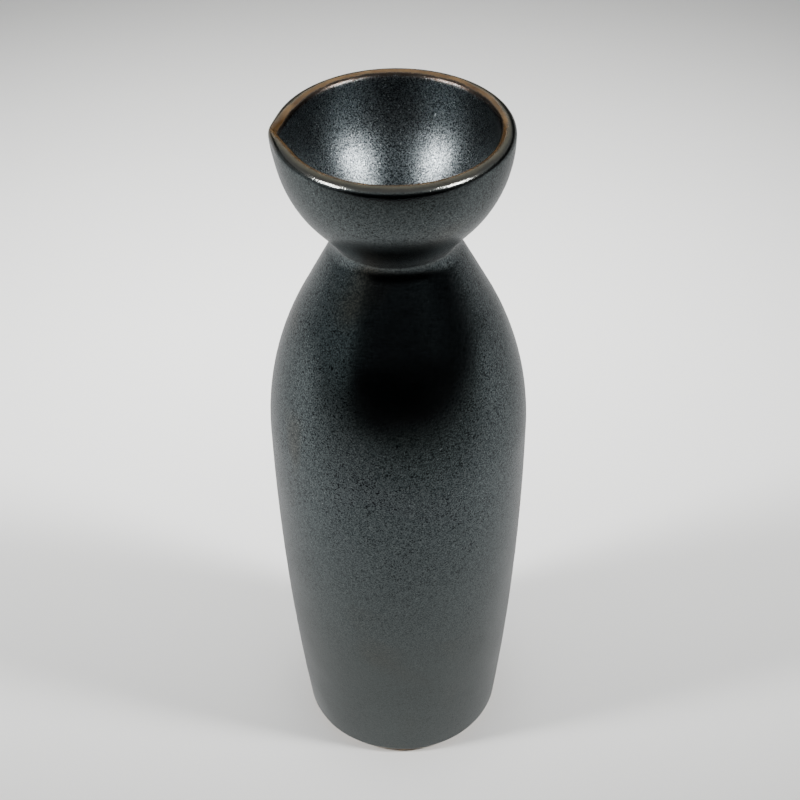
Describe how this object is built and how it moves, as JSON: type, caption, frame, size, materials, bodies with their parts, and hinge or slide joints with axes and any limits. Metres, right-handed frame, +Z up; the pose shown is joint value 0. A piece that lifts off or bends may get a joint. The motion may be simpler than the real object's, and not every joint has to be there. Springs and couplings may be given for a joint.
{
  "type": "sake bottle",
  "caption": "Stoneware pouring bottle with a long closed body, a pinched-in neck and a small cup-shaped mouth with a pulled lip, under dark speckled glaze.",
  "frame": {"origin": "on the floor under the bottle's axis, at the centre of the foot ring", "axes": "+Z up along the bottle's axis, the pouring lip points along -X, the side is seen from -Y"},
  "size_m": [0.0662, 0.0662, 0.1913],
  "materials": {
    "clay": "rough, unglazed stoneware",
    "black_glaze": "satin, dark and finely speckled",
    "mouth_glaze": "glossier satin, rust brown where thin at the lip"
  },
  "bodies": {
    "root": {"clay_body": "clay", "clay_mouth": "clay", "body_glaze": "black_glaze", "mouth_glaze": "mouth_glaze", "lining_glaze": "black_glaze"}
  },
  "joints": []
}
